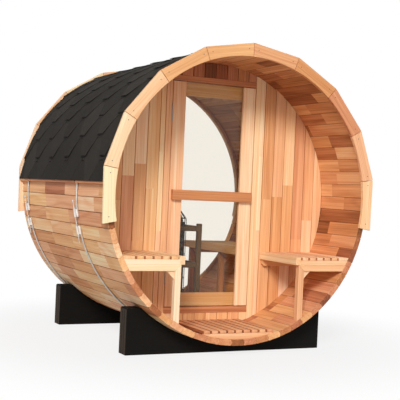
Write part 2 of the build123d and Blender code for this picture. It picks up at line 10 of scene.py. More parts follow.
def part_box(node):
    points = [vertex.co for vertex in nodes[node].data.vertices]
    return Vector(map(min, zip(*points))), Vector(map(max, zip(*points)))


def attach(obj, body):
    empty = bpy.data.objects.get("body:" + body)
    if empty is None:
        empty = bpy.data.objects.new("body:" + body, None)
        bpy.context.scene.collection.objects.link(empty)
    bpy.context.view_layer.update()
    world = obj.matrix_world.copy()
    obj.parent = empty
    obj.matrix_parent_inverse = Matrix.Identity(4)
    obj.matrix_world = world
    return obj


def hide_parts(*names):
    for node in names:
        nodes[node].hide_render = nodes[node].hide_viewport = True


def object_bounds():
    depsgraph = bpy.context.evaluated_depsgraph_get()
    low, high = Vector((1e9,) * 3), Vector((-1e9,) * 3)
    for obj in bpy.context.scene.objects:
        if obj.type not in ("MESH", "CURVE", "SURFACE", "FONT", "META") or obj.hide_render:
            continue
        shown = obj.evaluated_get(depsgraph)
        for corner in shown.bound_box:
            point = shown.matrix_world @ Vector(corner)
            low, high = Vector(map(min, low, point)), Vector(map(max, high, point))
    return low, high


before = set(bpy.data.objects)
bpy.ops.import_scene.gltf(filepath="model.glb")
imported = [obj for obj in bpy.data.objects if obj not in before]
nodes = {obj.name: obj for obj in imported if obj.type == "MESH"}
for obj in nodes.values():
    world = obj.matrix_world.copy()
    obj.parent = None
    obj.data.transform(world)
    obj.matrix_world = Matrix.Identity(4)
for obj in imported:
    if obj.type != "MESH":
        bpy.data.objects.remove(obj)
cad_low, cad_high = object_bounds()

# Sizes of the barrel in metres, as the solids have them
FRONT = cad_low.y
LENGTH = cad_high.y - cad_low.y
STAVES = 64
STAVE_HALF = math.pi / STAVES
STAVE_TURN = math.radians(2.1)
STAVE_THICK, CROZE = 0.038, 0.008
BARREL_RADIUS = 0.950
AXIS = 1.0163
SEAM = 0.0003
OUTER_FLAT = BARREL_RADIUS * math.cos(STAVE_HALF)
INNER_FLAT = OUTER_FLAT - STAVE_THICK
CROZE_FLAT = INNER_FLAT + CROZE
CLEAR = INNER_FLAT - 2 * SEAM
BEAD = 0.0052
FASCIA = 0.025
STAVE_END = LENGTH - FASCIA
ROOF_ENDS = (FASCIA + 2 * SEAM, STAVE_END - 2 * SEAM)
HOOP_ROD = 0.006
HOOP_DEPTHS = (0.545, LENGTH - 0.190)
TENSION = math.radians(-102)
EAVE = math.radians(86.3)


def srgb(red, green, blue):
    """A colour in screen values from 0 to 255, as the linear values of a shader."""
    scaled = [c / 255 for c in (red, green, blue)]
    return (*(c / 12.92 if c <= 0.04045 else ((c + 0.055) / 1.055) ** 2.4 for c in scaled), 1.0)


class Wire:
    """An output of a shader node. Arithmetic on it adds Math nodes to its material."""

    def __init__(self, finish, socket):
        self.finish, self.socket = finish, socket

    def math(self, operation, *values):
        return self.finish.node("ShaderNodeMath", {"operation": operation}, dict(enumerate(values)))

    def __add__(self, other):
        return self.math("ADD", self, other)

    def __sub__(self, other):
        return self.math("SUBTRACT", self, other)

    def __rsub__(self, other):
        return self.math("SUBTRACT", other, self)

    def __mul__(self, other):
        return self.math("MULTIPLY", self, other)

    def __pow__(self, other):
        return self.math("POWER", self, other)

    def most(self, other):
        return self.math("MAXIMUM", self, other)

    __radd__ = __add__
    __rmul__ = __mul__


class Finish:
    """A material with one Principled shader, and the nodes that feed it."""

    def __init__(self, name, data=None, **plain):
        self.data = data or bpy.data.materials.new(name)
        self.data.use_nodes = True
        self.tree = self.data.node_tree
        self.shader = self.tree.nodes.get("Principled BSDF")
        self.set(**plain)

    def node(self, kind, settings=None, sockets=None, out=0):
        """Adds a node: its settings first, then a value or a link for each socket named."""
        made = self.tree.nodes.new(kind)
        for key, value in (settings or {}).items():
            if key == "stops":
                while len(made.color_ramp.elements) < len(value):
                    made.color_ramp.elements.new(0.5)
                for element, (place, colour) in zip(made.color_ramp.elements, value):
                    element.position, element.color = place, colour
            else:
                setattr(made, key, value)
        for key, value in (sockets or {}).items():
            self.feed(made.inputs[key], value)
        return Wire(self, made.outputs[out])

    def feed(self, socket, value):
        if isinstance(value, Wire):
            self.tree.links.new(value.socket, socket)
        else:
            socket.default_value = value

    def set(self, **sockets):
        for key, value in sockets.items():
            self.feed(self.shader.inputs[key.replace("_", " ")], value)

    def attribute(self, name, out):
        return self.node("ShaderNodeAttribute", {"attribute_name": name}, out=out)

    def stretch(self, vector, scale):
        return self.node("ShaderNodeVectorMath", {"operation": "MULTIPLY"}, {0: vector, 1: scale})

    def noise(self, vector, scale=1.0, detail=2.0, rough=0.5):
        sockets = {"Vector": vector, "Scale": scale, "Detail": detail, "Roughness": rough}
        return self.node("ShaderNodeTexNoise", None, sockets)

    def ramp(self, value, stops):
        return self.node("ShaderNodeValToRGB", {"stops": stops}, {"Fac": value})

    def mix(self, factor, first, second):
        return self.node("ShaderNodeMix", {"data_type": "RGBA"}, {0: factor, 6: first, 7: second}, out=2)

    def bump(self, height, strength, distance):
        sockets = {"Height": height, "Strength": strength, "Distance": distance}
        return self.node("ShaderNodeBump", None, sockets)

    def place(self):
        return self.node("ShaderNodeTexCoord", out="Object")

    def length(self, vector):
        return self.node("ShaderNodeVectorMath", {"operation": "LENGTH"}, {0: vector}, out="Value")

    def ray(self, kind):
        return self.node("ShaderNodeLightPath", out=f"Is {kind} Ray")

    def seen(self):
        """One where a thing is looked at, straight, in a reflection or through glass."""
        return self.ray("Camera").most(self.ray("Glossy")).most(self.ray("Transmission"))

    def body(self):
        return Wire(self, self.shader.outputs["BSDF"])

    def blend(self, factor, first, second, output="Material Output"):
        """Makes the surface one shader where the factor is zero and another where it is one."""
        both = self.node("ShaderNodeMixShader", None, {0: factor, 1: first, 2: second})
        self.feed(self.tree.nodes[output].inputs["Surface"], both)


GOLDEN_CEDAR = (
    (0.0, srgb(253, 232, 188)),
    (0.25, srgb(240, 186, 130)),
    (0.5, srgb(212, 146, 94)),
    (0.75, srgb(168, 104, 62)),
    (1.0, srgb(110, 66, 40)),
)
ROSY_CEDAR = (
    (0.0, srgb(252, 226, 194)),
    (0.25, srgb(240, 183, 142)),
    (0.5, srgb(212, 141, 102)),
    (0.75, srgb(166, 98, 67)),
    (1.0, srgb(108, 62, 44)),
)
RING_RATE, RING_WAVER = 1500, 24


def cedar(name, golden=GOLDEN_CEDAR, rosy=ROSY_CEDAR, gloss=0.55, contrast=1.0):
    """Sawn timber: rings round a pith, long streaks and fine fibre, all from each board's own grain."""
    finish = Finish(name)
    grain = finish.attribute("grain", "Vector")
    tone = finish.attribute("tone", "Fac")
    blush = finish.attribute("blush", "Fac")
    streak = finish.noise(finish.stretch(grain, (0.8, 34, 34)), detail=3, rough=0.55)
    band = finish.noise(finish.stretch(grain, (1.3, 130, 130)), detail=2, rough=0.6)
    sway = finish.noise(finish.stretch(grain, (1.2, 7, 7)), detail=1)
    fibre = finish.noise(finish.stretch(grain, (7, 760, 760)), detail=2, rough=0.6)
    pith = finish.length(finish.stretch(grain, (0, 1, 1)))
    phase = pith * RING_RATE + sway * RING_WAVER
    late = (phase.math("SINE", phase) * 0.5 + 0.5) ** 3
    shade = tone + (streak - 0.5) * (0.34 * contrast) + (band - 0.5) * (0.30 * contrast)
    shade = shade + (sway - 0.5) * (0.14 * contrast) + late * (0.06 * contrast)
    shade = shade + (fibre - 0.5) * (0.12 * contrast) - 0.015
    finish.set(
        Base_Color=finish.mix(blush, finish.ramp(shade, golden), finish.ramp(shade, rosy)),
        Roughness=gloss + (fibre - 0.5) * 0.25 + late * 0.06,
        Normal=finish.bump(fibre * 0.6 + late * 0.4, 0.25, 0.0006),
        Specular_IOR_Level=0.14,
    )
    return finish


def black_stain(name):
    """Dark stained timber, with the grain just showing and paler rubbed patches."""
    tones = ((0.0, srgb(15, 14, 13)), (0.55, srgb(24, 22, 20)), (1.0, srgb(64, 54, 47)))
    finish = cedar(name, tones, tones, gloss=0.7, contrast=0.8)
    finish.set(Specular_IOR_Level=0.06)
    return finish


def shingle_felt():
    """Bitumen felt with mineral granules: near black, speckled and dull."""
    finish = Finish("shingle_felt")
    place = finish.place()
    tone = finish.attribute("tone", "Fac")
    grit = finish.noise(place, 900, 2, 0.7)
    blot = finish.noise(place, 9, 3, 0.6)
    fleck = finish.node("ShaderNodeTexVoronoi", None, {"Vector": place, "Scale": 420.0})
    shade = (tone - 0.5) + (grit - 0.5) * 0.7 * tone + (blot - 0.5) * 0.14 + 0.5
    stops = ((0.0, srgb(8, 7, 7)), (0.5, srgb(48, 45, 42)), (1.0, srgb(92, 86, 80)))
    finish.set(
        Base_Color=finish.ramp(shade, stops),
        Roughness=0.86 + (grit - 0.5) * 0.2,
        Normal=finish.bump(grit * 0.6 + fleck * 0.4, 0.6, 0.0014),
        Specular_IOR_Level=0.06,
    )
    return finish


def steel(name, colour, rough):
    """Bare steel with faint drawn streaks and dulled patches."""
    finish = Finish(name, Metallic=0.9)
    place = finish.place()
    haze = finish.noise(place, 38, 3, 0.6)
    fine = finish.noise(place, 900, 2, 0.6)
    stops = ((0.25, [c * 0.72 for c in colour[:3]] + [1.0]), (0.75, colour))
    finish.set(
        Base_Color=finish.ramp(haze, stops),
        Roughness=rough + (haze - 0.5) * 0.2,
        Normal=finish.bump(fine, 0.12, 0.0003),
    )
    return finish


def black_wire():
    """Black oven paint on wire, a little chalky."""
    finish = Finish("heater_paint")
    place = finish.place()
    haze = finish.noise(place, 120, 3, 0.6)
    finish.set(
        Base_Color=finish.ramp(haze, ((0.3, srgb(18, 18, 18)), (0.8, srgb(44, 43, 42)))),
        Roughness=0.5 + (haze - 0.5) * 0.3,
        Normal=finish.bump(haze, 0.15, 0.0005),
    )
    return finish


def stone():
    """Grey heater stones, mottled and rough."""
    finish = Finish("heater_stone")
    place = finish.place()
    tone = finish.attribute("tone", "Fac")
    mottle = finish.noise(place, 60, 5, 0.65)
    shade = mottle * 0.7 + tone * 0.4
    stops = ((0.2, srgb(58, 56, 54)), (0.55, srgb(104, 100, 96)), (0.95, srgb(150, 146, 138)))
    finish.set(
        Base_Color=finish.ramp(shade, stops), Roughness=0.85 + (mottle - 0.5) * 0.2,
        Normal=finish.bump(mottle, 0.5, 0.004),
    )
    return finish


def clear_glass():
    """Toughened glass with a faint warm tint, which lets the lamps through."""
    tint = srgb(250, 247, 241)
    finish = Finish("window_glass", Base_Color=tint, Roughness=0.01, Transmission_Weight=1.0, IOR=1.3)
    passing = finish.node("ShaderNodeBsdfTransparent", None, {"Color": srgb(240, 237, 222)}, out="BSDF")
    finish.blend(finish.ray("Shadow").most(finish.ray("Diffuse")), finish.body(), passing)
    return finish


CEDAR = cedar("cedar_boards", contrast=1.25)
CEDAR_SLATS = cedar("cedar_slats", gloss=0.6)
STAIN = black_stain("cradle_stain")
# The heater guard stands in the cabin's shade and gets a darker timber palette as painted shade
GUARD_SHADE_TONES = ((0.0, srgb(126, 98, 72)), (0.5, srgb(98, 75, 55)), (1.0, srgb(64, 50, 38)))
SHADED_GUARD = cedar("guard_timber", GUARD_SHADE_TONES, GUARD_SHADE_TONES)
FELT = shingle_felt()
HOOP_STEEL = steel("hoop_steel", srgb(208, 204, 199), 0.48)
LUG_STEEL = steel("lug_steel", srgb(238, 232, 226), 0.46)
HINGE_STEEL = steel("hinge_steel", srgb(178, 171, 163), 0.36)
NAIL_STEEL = steel("nail_steel", srgb(120, 112, 104), 0.5)
WIRE_PAINT = black_wire()
STONE = stone()
GLASS = clear_glass()


def put(name, data):
    """A new object in the scene."""
    made = bpy.data.objects.new(name, data)
    bpy.context.scene.collection.objects.link(made)
    return made


class Shapes:
    """Gathers closed shapes into one mesh. Each keeps its grain, with the length first, and its tone."""

    def __init__(self):
        self.points, self.faces, self.grain, self.tone, self.blush = [], [], [], [], []

    def take(self, shape, place=None, tone=0.5, axis=0, offset=(0, 0, 0), lean=(0, 0), blush=0.5):
        """Takes over a bmesh in its own frame, whose given axis runs along the grain."""
        start = len(self.points)
        place = place or Matrix.Identity(4)
        for number, vert in enumerate(shape.verts):
            vert.index = number
            local = [vert.co[(axis + turn) % 3] for turn in range(3)]
            drift = (0, lean[0] * local[0], lean[1] * local[0])
            self.points.append(place @ vert.co)
            self.grain.append(tuple(local[i] + offset[i] + drift[i] for i in range(3)))
        self.faces += [[start + v.index for v in face.verts] for face in shape.faces]
        self.tone += tone if isinstance(tone, list) else [tone] * len(shape.faces)
        self.blush += [blush] * len(shape.faces)
        shape.free()

    def board(
        self, shape, dice, tone, place=None, axis=0, ease=0.0012, ends=True, blush=None, end_grain=0.06,
        across=None, flank_shade=0.5, rosy=1.0,
    ):
        """Takes an eased board with its own grain, darker at its ends, with painted shade on its jointed
        flanks.
        """
        ease_edges(shape, ease, None if ends else axis)
        side = dice.choice((-1, 1))
        offset = (dice.uniform(0, 60), dice.uniform(-0.06, 0.06), side * dice.uniform(0.012, 0.09))
        lean = (dice.uniform(-0.014, 0.014), dice.uniform(-0.009, 0.009))
        shape.normal_update()
        tones = []
        for face in shape.faces:
            darker = end_grain if abs(face.normal[axis]) > 0.9 else 0
            if across is not None and abs(face.normal[across]) > 0.6:
                darker = flank_shade
            tones.append(tone + darker)
        self.take(shape, place, tones, axis, offset, lean, dice.random() * rosy if blush is None else blush)

    def piece(self, name, finish, slot, node=None, body="cabin", sharp=24):
        """Makes the object, which rides on a body and may stand for a node."""
        mesh = bpy.data.meshes.new(name)
        mesh.from_pydata(self.points, [], self.faces)
        grain = mesh.attributes.new("grain", "FLOAT_VECTOR", "POINT")
        grain.data.foreach_set("vector", [number for value in self.grain for number in value])
        mesh.attributes.new("tone", "FLOAT", "FACE").data.foreach_set("value", self.tone)
        mesh.attributes.new("blush", "FLOAT", "FACE").data.foreach_set("value", self.blush)
        mesh.materials.append(finish.data)
        mesh.shade_smooth()
        mesh.set_sharp_from_angle(angle=math.radians(sharp))
        mesh.validate()
        made = put(name, mesh)
        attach(made, body)
        if node:
            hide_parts(node)


def bevel(shape, edges, ease, segments=1):
    """Takes the arris off some edges."""
    bmesh.ops.bevel(
        shape, geom=edges, offset=ease, segments=segments, affect="EDGES", profile=0.5, clamp_overlap=True
    )


def ease_edges(shape, ease, axis=None, segments=1):
    """Takes the arris off the sharp edges, or off those along one axis only."""
    if not ease:
        return
    edges = []
    for edge in shape.edges:
        run = edge.verts[1].co - edge.verts[0].co
        lengthways = axis is None or abs(run[axis]) > 0.98 * run.length
        if lengthways and len(edge.link_faces) == 2 and edge.calc_face_angle(0) > 0.5:
            edges.append(edge)
    bevel(shape, edges, ease, segments)


def ease_rim(shape, level, ease):
    """Takes the arris off the end of a prism at one height."""
    rim = [edge for edge in shape.edges if all(abs(vert.co.z - level) < 1e-6 for vert in edge.verts)]
    bevel(shape, rim, ease)


def skin(rings, closed=False):
    """A closed shape over rings of points, capped at its ends or closed on itself."""
    shape = bmesh.new()
    rings = [[shape.verts.new(point) for point in ring] for ring in rings]
    pairs = list(zip(rings, rings[1:])) + ([(rings[-1], rings[0])] if closed else [])
    for lower, upper in pairs:
        for k in range(len(lower)):
            shape.faces.new((lower[k - 1], lower[k], upper[k], upper[k - 1]))
    if not closed:
        shape.faces.new(rings[0])
        shape.faces.new(rings[-1])
    bmesh.ops.recalc_face_normals(shape, faces=shape.faces)
    return shape


def prism(outline, low, high):
    """A closed shape with an outline in its x and y, from one z to another."""
    return skin([[(u, v, z) for u, v in outline] for z in (low, high)])


def circle(sides):
    """Angles spaced evenly, once round."""
    return [2 * math.pi * k / sides for k in range(sides)]


def arc(angles, radius):
    """Points of a round at some angles from its top."""
    return [(math.sin(angle) * radius, math.cos(angle) * radius) for angle in angles]


def around(angle):
    """Frame at an angle from the top of the barrel: x towards the left of it, y out from the axis, z back."""
    out = Vector((math.sin(angle), 0, math.cos(angle)))
    left = Vector((-math.cos(angle), 0, math.sin(angle)))
    turn = Matrix((left, out, Vector((0, 1, 0)))).transposed().to_4x4()
    return Matrix.Translation((0, FRONT, AXIS)) @ turn


# Frame of the barrel's cross-section: x right, y up from the axis, z forwards. Depths are minus z.
SECTION = Matrix.Translation((0, FRONT, AXIS)) @ Matrix.Rotation(math.pi / 2, 4, "X")


def middle_of(part):
    """Mean place of a shape's points, which puts the solids of a node in order."""
    return tuple(round(sum(v.co[i] for v in part.verts) / len(part.verts), 4) for i in range(3))


def solids(node):
    """The separate solids of a node, with the triangles of each flat face joined."""
    whole = bmesh.new()
    whole.from_mesh(nodes[node].data)
    bmesh.ops.remove_doubles(whole, verts=whole.verts, dist=2e-5)
    found, met = [], set()
    for first in whole.faces:
        if first in met:
            continue
        group = [first]
        met.add(first)
        for face in group:
            for other in (other for edge in face.edges for other in edge.link_faces):
                if other not in met:
                    met.add(other)
                    group.append(other)
        part = bmesh.new()
        copies = {}
        for face in group:
            for vert in face.verts:
                if vert not in copies:
                    copies[vert] = part.verts.new(vert.co)
            part.faces.new([copies[vert] for vert in face.verts])
        bmesh.ops.dissolve_limit(part, angle_limit=0.005, verts=part.verts, edges=part.edges)
        bmesh.ops.recalc_face_normals(part, faces=part.faces)
        found.append(part)
    whole.free()
    return sorted(found, key=middle_of)


def dress(name, node, finish, slot, seed, tones, ease=0.002, body="cabin", slats=None, upright_shade=0.0):
    """Stands eased, grained boards in the place of a node's solids, with a list or a range of tones.

    Slats have rounded edges, painted shade on their flanks and a range of blush.
    Upright boards may be darker, as a painted shade.
    """
    dice = random.Random(seed)
    boards = Shapes()
    for number, part in enumerate(solids(node)):
        low = Vector(min(v.co[i] for v in part.verts) for i in range(3))
        high = Vector(max(v.co[i] for v in part.verts) for i in range(3))
        span = high - low
        middle = (low + high) / 2
        for vert in part.verts:
            vert.co -= middle
        axis = max(range(3), key=lambda i: span[i])
        tone = tones[number] if isinstance(tones, list) else dice.uniform(*tones)
        # Upright boards take a painted shade where one is given
        tone += upright_shade if axis == 2 else 0
        place = Matrix.Translation(middle)
        if slats:
            ease_edges(part, ease, None, 2)
            blush = dice.uniform(*slats)
            across = 1 if axis == 0 else 0
            # The slats' flanks, in the gaps between them, take a painted shade
            boards.board(part, dice, tone, place, axis, 0, blush=blush, across=across, flank_shade=0.4)
        else:
            boards.board(part, dice, tone, place, axis, ease)
    boards.piece(name, finish, slot, node, body)


# Shares of pale, middling and dark boards in a stack of cedar, as limits, with the tones of each
STACK = ((0.28, (0.18, 0.28)), (0.78, (0.28, 0.46)), (1.0, (0.46, 0.68)))


def pick_tone(dice):
    """A tone as a stack of cedar gives it: mostly middling, some pale, some dark."""
    share = dice.random()
    return dice.uniform(*next(tones for limit, tones in STACK if share < limit))


def unlike(dice, tone, fresh, least, step):
    """A fresh tone where it is far enough from the last board's, or else that one moved by a step."""
    return fresh if abs(fresh - tone) > least else tone + dice.choice((-step, step))


# Staves, each joined up from short lengths
GROOVE, GROOVE_HALF = 0.0060, 0.0016
INNER_ARRIS, INNER_BACK = 0.0016, 0.0011


def stave_outline():
    """Cross-section of a stave at the top of the barrel: bead at one edge, cove at the other, arrises off."""
    sine, cosine = math.sin(STAVE_HALF), math.cos(STAVE_HALF)
    steps = 8

    def edge(side, flat, bulge):
        reach = (flat + side * sine * bulge) / cosine
        return Vector((side * sine * reach, cosine * reach)) + Vector((cosine, -side * sine)) * bulge

    arris = [(0, 0.0034), (0.0006, 0.0023), (0.0018, GROOVE_HALF), (GROOVE, GROOVE_HALF)]
    under = OUTER_FLAT - GROOVE
    shares = [k / steps for k in range(steps + 1)]
    curve = [(under + (CROZE_FLAT - under) * k, BEAD * (1 - (2 * k - 1) ** 2)) for k in shares]
    bead = [(OUTER_FLAT - drop, -back) for drop, back in arris] + curve
    bead += [(INNER_FLAT + INNER_ARRIS, 0), (INNER_FLAT, -INNER_BACK)]
    cove = [(OUTER_FLAT - drop, back + SEAM) for drop, back in arris]
    cove += [(flat, out + SEAM) for flat, out in curve]
    cove += [(INNER_FLAT + INNER_ARRIS, SEAM), (INNER_FLAT, INNER_BACK + SEAM)]
    return [edge(1, *spot) for spot in bead] + [edge(-1, *spot) for spot in reversed(cove)]


def lengths(dice, start, end, shortest, longest):
    """Cuts a run into random lengths, none of them too short."""
    cuts = [start]
    while end - cuts[-1] > longest + shortest:
        cuts.append(cuts[-1] + dice.uniform(shortest, longest))
    if end - cuts[-1] > longest:
        cuts.append((cuts[-1] + end) / 2)
    return cuts + [end]


# Groups of staves, each with how much darker than the stack its boards are, and how rosy
# The crown and upper groups are darker partly from their stock, partly as painted shade for the porch ceiling
STAVE_LOOKS = {
    "staves_right": (0.08, 0.6), "staves_upper_right": (0.14, 0.5), "staves_crown": (0.19, 0.4),
    "staves_upper_left": (0.14, 0.6), "staves_left": (-0.03, 0.9), "staves_lower_left": (-0.07, 0.9),
    "staves_floor": (0.0, 1.0), "staves_lower_right": (0.10, 1.2),
}
STAVES_OVER_SEAT, DARKER_OVER_SEAT = 3, 0.14
IN_GROUP = STAVES // len(STAVE_LOOKS)
BUTT, RIM_EASE = 0.0001, 0.0016

outline = stave_outline()
for group, (node, (stock_and_shade, rosy)) in enumerate(STAVE_LOOKS.items()):
    dice = random.Random(40 + group)
    boards = Shapes()
    for stave in range(IN_GROUP):
        over_seat = node == "staves_right" and stave < STAVES_OVER_SEAT
        darker = stock_and_shade + DARKER_OVER_SEAT if over_seat else stock_and_shade
        number = group * IN_GROUP + stave - (IN_GROUP - 1) / 2
        angle = math.pi / 2 - STAVE_TURN - number * 2 * STAVE_HALF
        cuts = [FASCIA] + lengths(dice, FASCIA + dice.uniform(0.12, 0.50), STAVE_END, 0.26, 0.70)
        tone = pick_tone(dice) + darker
        for low, high in zip(cuts, cuts[1:]):
            shape = prism(outline, low + BUTT, high - BUTT)
            if low == FASCIA:
                ease_rim(shape, low + BUTT, RIM_EASE)
            elif high == STAVE_END:
                ease_rim(shape, high - BUTT, RIM_EASE)
            rim = dice.uniform(0.05, 0.35)
            # The faces across each stave, in its grooves, take a painted shade
            boards.board(shape, dice, tone, around(angle), 2, 0, end_grain=rim, across=0, rosy=rosy)
            tone = unlike(dice, tone, pick_tone(dice) + darker, 0.07, 0.12)
    boards.piece(node + "_boards", CEDAR, "cedar_staves", node)

# Fascia boards and their nails
FASCIA_STEP = math.radians(20.2)
FASCIA_OUT, FASCIA_IN = 0.992, INNER_FLAT - 0.0075
FASCIA_GAP = 0.0014
FRONT_BOARDS = (
    (0.02, 0.1), (0.09, 0.5), (0.18, 0.5), (0.31, 0.1), (0.37, 0.0),
    (0.43, 0.5), (0.47, 0.1), (0.51, 0.9), (0.31, 0.8), (0.20, 0.3),
)
REAR_BOARDS = (
    (0.16, 0.9), (0.10, 0.9), (0.16, 0.8), (0.08, 0.3), (0.26, 0.6),
    (0.20, 0.2), (0.28, 0.5), (0.25, 0.1), (0.20, 0.7), (0.16, 0.4),
)
NAIL_PROUD, NAIL_RADIUS = 0.0007, 0.0033
NAIL_LINE, NAIL_INSET = 0.947, 0.036
NAIL_ROWS = ((1.0, -0.60), (1.0, -0.16), (0.8, -0.06), (0.4, 0.0))


def fascia_outline():
    """A fascia board at the top of the barrel: a straight outer edge, mitred ends and an arc inside."""
    reach = FASCIA_STEP / 2 - FASCIA_GAP / FASCIA_IN
    inner = [reach - 2 * reach * step / 14 for step in range(15)]
    return arc((-reach, reach), FASCIA_OUT) + arc(inner, FASCIA_IN)


def nail_head(shapes, place):
    """A low domed nail head, its rim just proud of the board."""
    rings = []
    for wide, high in NAIL_ROWS:
        ring = [Vector((math.cos(a) * wide, math.sin(a) * wide, high)) for a in circle(12)]
        rings.append([point * NAIL_RADIUS for point in ring])
    shapes.take(skin(rings), place)


for end, looks, near, far, face, away, seed in (
    ("front", FRONT_BOARDS, NAIL_PROUD, FASCIA, 0.0, math.pi / 2, 11),
    ("rear", REAR_BOARDS, STAVE_END, LENGTH - NAIL_PROUD, LENGTH, -math.pi / 2, 12),
):
    dice = random.Random(seed)
    boards, nails = Shapes(), Shapes()
    for number, (tone, blush) in enumerate(looks):
        angle = (number - (len(looks) - 1) / 2) * FASCIA_STEP
        shape = prism(fascia_outline(), near, far)
        boards.board(shape, dice, tone, around(angle), 0, 0.0016, blush=blush)
        for side in (-1, 1):
            swing = angle + side * (FASCIA_STEP / 2 - NAIL_INSET + dice.uniform(-0.004, 0.004))
            spot = around(swing) @ Vector((0, NAIL_LINE + dice.uniform(-0.006, 0.006), face))
            nail_head(nails, Matrix.Translation(spot) @ Matrix.Rotation(away, 4, "X"))
    boards.piece(end + "_fascia_boards", CEDAR, "cedar_fascia", end + "_fascia")
    nails.piece(end + "_fascia_nails", NAIL_STEEL, "hinge_steel")

# Front wall: tongued boards with open joints in front, joined up from lengths, cut to the round
WALL_DEPTH, WALL_BACK = 0.515, 0.553
WALL_LIP, WALL_GAP, WALL_JOINT = 0.008, 0.0009, 0.0005
BOARD_PITCH, FIRST_EDGE, WALL_MARGIN = 0.086, 0.403, 0.002
JAMB_OUT, JAMB_IN = 0.364, 0.322
DOOR_HALF, DOOR_BOARD = 0.317, 0.059
door_low, door_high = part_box("door_frame_rails")
HEAD_TOP = door_high.z - AXIS
SILL_BOTTOM = door_low.z - AXIS


def wall_edge(across, sign):
    """Height of the round at a distance across from the axis."""
    return sign * math.sqrt(max(CLEAR**2 - across**2, 0))


def wall_board(boards, dice, left, right, low_limit, high_limit, tones, joints=()):
    """A column of the wall, its free ends cut to the round, its boards in a range of tones."""
    left, right = left + WALL_JOINT, right - WALL_JOINT
    tone = dice.uniform(*tones)
    steps = [left + (right - left) * k / 6 for k in range(7)]
    levels = [None, *sorted(joints), None]
    for below, above in zip(levels, levels[1:]):
        floor = [(u, wall_edge(u, -1) if low_limit is None else low_limit) for u in steps]
        top = [(u, wall_edge(u, 1) if high_limit is None else high_limit) for u in steps]
        if below is not None:
            floor = [(left, below + BUTT), (right, below + BUTT)]
        if above is not None:
            top = [(left, above - BUTT), (right, above - BUTT)]
        lowest = min(v for u, v in top)
        if max(v for u, v in floor) > lowest - 0.001:
            floor = [(u, v) for u, v in floor if v < lowest - 0.0005]
            if len(floor) < 2:
                continue
        shape = prism(floor + top[::-1], -WALL_BACK, -WALL_DEPTH - WALL_LIP)
        boards.board(shape, dice, tone, SECTION, 1, 0)
        middle = (left + right) / 2
        narrow = 1 - 2 * WALL_GAP / (right - left)
        floor, top = ([(middle + (u - middle) * narrow, v) for u, v in line] for line in (floor, top))
        shape = prism(floor + top[::-1], -WALL_DEPTH - WALL_LIP - 0.0002, -WALL_DEPTH)
        # The flanks of the open joints take a painted shade
        boards.board(shape, dice, tone, SECTION, 1, 0.0014, ends=False, across=0, flank_shade=0.2)
        tone = unlike(dice, tone, dice.uniform(*tones), 0.05, 0.09)


def column_joints(dice, across):
    """Heights at which a column changes boards, from its distance across."""
    reach = wall_edge(across, 1)
    cuts = lengths(dice, -reach - dice.uniform(0, 0.4), reach, 0.34, 0.95)
    return [cut for cut in cuts[1:-1] if abs(cut) < reach - 0.06]


for side, sign, tones in (("left", -1, (0.06, 0.36)), ("right", 1, (0.13, 0.45))):
    dice = random.Random(70 + sign)
    boards = Shapes()
    edges = [JAMB_OUT + SEAM, *(FIRST_EDGE + BOARD_PITCH * k for k in range(6)), CLEAR - WALL_MARGIN]
    for inner, outer in zip(edges, edges[1:]):
        left, right = sorted((sign * inner, sign * outer))
        wall_board(boards, dice, left, right, None, None, tones, column_joints(dice, outer))
    boards.piece(f"front_wall_{side}_boards", CEDAR, "cedar_wall", f"front_wall_{side}")

# The boards over the door are toned darker, as a painted shade under the overhang
for where, low, high, tones in (
    ("over", HEAD_TOP, None, (0.55, 0.85)),
    ("under", None, SILL_BOTTOM, (0.2, 0.45)),
):
    node = f"front_wall_{where}_door"
    dice = random.Random(80 + len(where))
    boards = Shapes()
    edges = [-JAMB_IN, *(-DOOR_HALF + DOOR_BOARD + BOARD_PITCH * k for k in range(7)), JAMB_IN]
    for left, right in zip(edges, edges[1:]):
        wall_board(boards, dice, left, right, low, high, tones)
    boards.piece(node + "_boards", CEDAR, "cedar_wall", node)

# Doorway, door, floors, seats, guard and roof battens stand where their solids are
SLAT_EASE = 0.003


def dress_slats(stand, seed, tones, blush):
    """Slats of a floor or a seat."""
    name, node = stand + "_slat_boards", stand + "_slats"
    dress(name, node, CEDAR_SLATS, "cedar_slats", seed, tones, SLAT_EASE, slats=blush)


dress("door_jamb_boards", "door_jambs", CEDAR, "cedar_frame", 101, [0.30, 0.13])
dress("door_rail_boards", "door_frame_rails", CEDAR, "cedar_frame", 102, (0.55, 0.62))
dress("door_stile_boards", "door_stiles", CEDAR, "cedar_door", 103, [0.25, 0.14], body="door")
# The door's back frame, in shade behind the glass, is toned paler as painted light
dress("door_back_boards", "door_back_frame", CEDAR, "cedar_door", 104, (0.22, 0.30), body="door")
dress("door_handle", "door_handle_board", CEDAR, "cedar_door", 105, (0.54, 0.57), 0.0, "door")
for floor, tones, blush in (
    ("porch_floor", (0.22, 0.42), (0.5, 1.0)),
    ("cabin_floor", (0.3, 0.55), (0, 0.5)),
):
    dress_slats(floor, 110, tones, blush)
    dress(floor + "_bearer_boards", floor + "_bearers", CEDAR, "cedar_frame", 111, (0.2, 0.35), 0.001)
for seat, slat_tones, blush, frame_tones, leg_shade in (
    ("right_seat", (0.10, 0.28), (0.6, 1.0), (0.14, 0.3), 0.0),
    ("left_seat", (0.05, 0.22), (0, 0.5), (0.02, 0.14), 0.0),
    # The bench's legs are toned darker as a painted shade
    ("bench", (0.06, 0.25), (0, 0.5), (0.1, 0.34), 0.40),
):
    seed = 120 + len(seat)
    dress_slats(seat, seed, slat_tones, blush)
    name, node = seat + "_frame_boards", seat + "_frame"
    dress(name, node, CEDAR_SLATS, "cedar_frame", seed + 9, frame_tones, 0.0022, upright_shade=leg_shade)
dress("guard_post_boards", "guard_posts", SHADED_GUARD, "guard_timber", 141, (0.3, 0.6), 0.003)
dress("guard_rail_boards", "guard_rails", SHADED_GUARD, "guard_timber", 142, (0.3, 0.6))
dress("roof_batten_boards", "roof_battens", CEDAR, "cedar_frame", 145, (0.38, 0.54), 0.0012)

